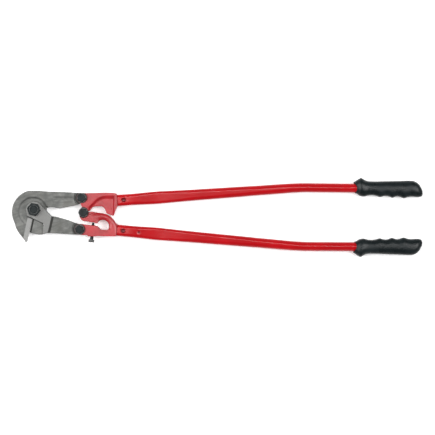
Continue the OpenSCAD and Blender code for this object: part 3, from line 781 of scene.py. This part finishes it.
gripShape = {
    "start": 546.5 * mm, "length": 159.5, "bore": 10.65, "boreDepth": 148.5, "nominal": 158.0,
    "sides": 80, "step": 1.25, "middle": 17.0,
    # distance from the mouth, offset, in millimetres
    "back": [(0, 13.4), (5, 16.6), (11, 20.6), (15.5, 23.3), (17.5, 24.0), (19.5, 23.4),
             (24, 20.4), (29, 17.8), (35, 16.5), (42, 16.2), (54, 16.2), (75, 17), (102, 17.8),
             (128, 18.7), (137, 18.1), (144, 15.5), (151, 9.4), (158, -3)],
    "front": [(0, 12.4), (5, 12.9), (12, 17), (19, 18.9), (26, 19.2), (33, 17), (41, 16.2),
              (50, 17.0), (57, 18.9), (60, 19.9), (62, 20.0), (65, 19.2), (70, 17.9), (75, 17.4),
              (80, 18.1), (85, 20.0), (88, 21.1), (90, 21.2), (93, 20.2), (98, 18.7), (102, 18.4),
              (107, 19.2), (112, 21.2), (115, 22.1), (117, 22.2), (120, 21.2), (126, 19.3),
              (133, 18.5), (143, 19.2), (151, 19.2), (156, 17.5), (158, 15)],
    "half": [(0, 12.8), (5, 14.2), (12, 16.2), (19, 16.8), (26, 16.0), (33, 15), (60, 14.8),
             (125, 15), (145, 14.3), (152, 12), (158, 7.5)],
    # long grooves: place across the flat, width, depth; and where they start and end
    "grooves": [(-0.60, 0.055, 0.7), (-0.80, 0.05, 0.5), (0.66, 0.06, 0.5)],
    "grooveStart": (38, 50), "grooveEnd": (132, 142), "grooveFlat": (0.3, 0.5),
    # the mouth is cut back in the middle, like a saddle, and towards the front
    "saddle": 6.5, "saddleFront": 3.0, "saddleUntil": 22, "squareness": 0.86,
}


def saddlePush(c, s):
    return gripShape["saddle"] * s * s + gripShape["saddleFront"] * (1 - c) / 2


def gripRing(u, shrink=0.0):
    nominal = u * gripShape["nominal"] / gripShape["length"]
    back = curveValue(gripShape["back"], nominal) - shrink
    front = curveValue(gripShape["front"], nominal) - shrink
    half = min(curveValue(gripShape["half"], nominal), gripShape["middle"] - 0.1) - shrink
    centre, reach = (back - front) / 2, (back + front) / 2
    spots = []
    for index in range(gripShape["sides"]):
        angle = (index + 0.5) * 2 * math.pi / gripShape["sides"]
        c, s = math.cos(angle), math.sin(angle)
        y = math.copysign(abs(c) ** gripShape["squareness"], c)
        z = math.copysign(abs(s) ** gripShape["squareness"], s)
        along = smoothStep(*gripShape["grooveStart"], nominal)
        along *= 1 - smoothStep(*gripShape["grooveEnd"], nominal)
        onFlat = smoothStep(*gripShape["grooveFlat"], abs(z))
        sink = 0.0
        for where, width, depth in gripShape["grooves"]:
            sink += depth * math.exp(-((y + where) / width) ** 2) * along * onFlat
        mouth = 1 - smoothStep(0, gripShape["saddleUntil"], nominal)
        push = mouth * saddlePush(c, s)
        spots.append(Vector((u + push, centre + reach * y, (half - sink) * z)) * mm)
    return spots


def boreRing(u, radius, push=0.0):
    spots = []
    for index in range(gripShape["sides"]):
        angle = (index + 0.5) * 2 * math.pi / gripShape["sides"]
        c, s = math.cos(angle), math.sin(angle)
        spots.append(Vector((u + push * saddlePush(c, s), radius * c, radius * s)) * mm)
    return spots


def makeGrip(side, name, nodeName, body):
    length, bore, depth = gripShape["length"], gripShape["bore"], gripShape["boreDepth"]
    count = int(length / gripShape["step"])
    rings = [boreRing(depth, bore), boreRing(20, bore), boreRing(6, bore, 0.7)]
    rings += [boreRing(0.6, bore + 1.3, 1.0), boreRing(0, bore + 1.7, 1.0)]
    rings += [gripRing(length * (index + 0.3) / count) for index in range(count)]
    rings += [gripRing(length, 0.8), gripRing(length, 3.5)]
    bm = sweep(rings, False)
    mouth = Matrix.Translation(pathPoint(gripShape["start"]))
    placeShape(bm, handleFrame(side) @ mouth @ Matrix.Rotation(-handleShape["bend"], 4, "Z"))
    return addPiece(name, meshFrom(bm, name), mouldedRubber, body, "grip_rubber", nodeName)


makeGrip(1, "upperGripRubber", "upper_grip", "upper_handle")
makeGrip(-1, "lowerGripRubber", "lower_grip", "lower_handle")
print("grips made")


studio = {
    "floorSize": 8.0, "floorColour": (0.93, 0.93, 0.93, 1), "floorGlow": 0.3,
    "floorRough": 0.8, "floorSpecular": 0.1,
    "cameraHeight": 4.0, "viewWidth": 1.0049, "sideShift": 0.5 * mm,
    "sky": 0.06, "horizon": 0.42, "background": 0.93,
}
# name, place, aimed at, width, depth, power
softboxes = [
    ("keyStrip", (0.4, 0.36, 2.3), (0.35, 0, 0), 1.2, 0.2, 9.4),
    ("headSoftbox", (-0.107, 0.0, 2.0), (-0.107, 0, 0), 0.486, 0.7, 3.5),
    ("jawEndFill", (-1.9, 0.3, 2.3), (0.2, 0, 0), 2.2, 1.5, 74.0),
    ("gripEndFill", (2.2, 0.3, 3.1), (0.6, 0, 0), 2.0, 1.5, 80.0),
]


def makeFloor():
    bm = bmesh.new()
    bmesh.ops.create_grid(bm, x_segments=1, y_segments=1, size=studio["floorSize"])
    floor = bpy.data.objects.new("studioFloor", meshFrom(bm, "studioFloor", False))
    bpy.context.scene.collection.objects.link(floor)
    material, tree, shader, place = startMaterial("paleFloor")
    shader.inputs["Base Color"].default_value = studio["floorColour"]
    shader.inputs["Roughness"].default_value = studio["floorRough"]
    shader.inputs["Specular IOR Level"].default_value = studio["floorSpecular"]
    shader.inputs["Emission Color"].default_value = (1, 1, 1, 1)
    shader.inputs["Emission Strength"].default_value = studio["floorGlow"]
    floor.data.materials.append(material)


def makeSoftbox(name, at, target, width, depth, power):
    lamp = bpy.data.lights.new(name, "AREA")
    lamp.shape = "RECTANGLE"
    lamp.size, lamp.size_y = width, depth
    lamp.energy = power
    holder = bpy.data.objects.new(name, lamp)
    bpy.context.scene.collection.objects.link(holder)
    holder.location = at
    holder.rotation_euler = (Vector(target) - Vector(at)).to_track_quat("-Z", "Y").to_euler()


def makeSky():
    world = bpy.data.worlds.new("studioSky")
    bpy.context.scene.world = world
    world.use_nodes = True
    tree = Tree(world.node_tree)
    sky = world.node_tree.nodes["Background"]
    place = tree.add("ShaderNodeTexCoord").outputs["Generated"]
    up = tree.add("ShaderNodeSeparateXYZ", Vector=place).outputs["Z"]
    rise = tree.ramp(up, 0.0, 0.95)
    low, high, back = studio["horizon"], studio["sky"], studio["background"]
    light = tree.mix(rise, (low, low, low, 1), (high, high, high, 1))
    seen = tree.add("ShaderNodeLightPath").outputs["Is Camera Ray"]
    tree.feed(sky, "Color", tree.mix(seen, light, (back, back, back, 1)))


def makeCamera():
    lens = bpy.data.cameras.new("studioCamera")
    lens.sensor_width = 36
    lens.lens = lens.sensor_width * studio["cameraHeight"] / studio["viewWidth"]
    lens.clip_end = 60
    camera = bpy.data.objects.new("studioCamera", lens)
    bpy.context.scene.collection.objects.link(camera)
    camera.location = (cadCentre.x + studio["sideShift"], cadCentre.y, midZ + studio["cameraHeight"])
    bpy.context.scene.camera = camera


makeFloor()
for softbox in softboxes:
    makeSoftbox(*softbox)
makeSky()
makeCamera()
bpy.context.scene.view_settings.view_transform = "Standard"
print("studio ready")
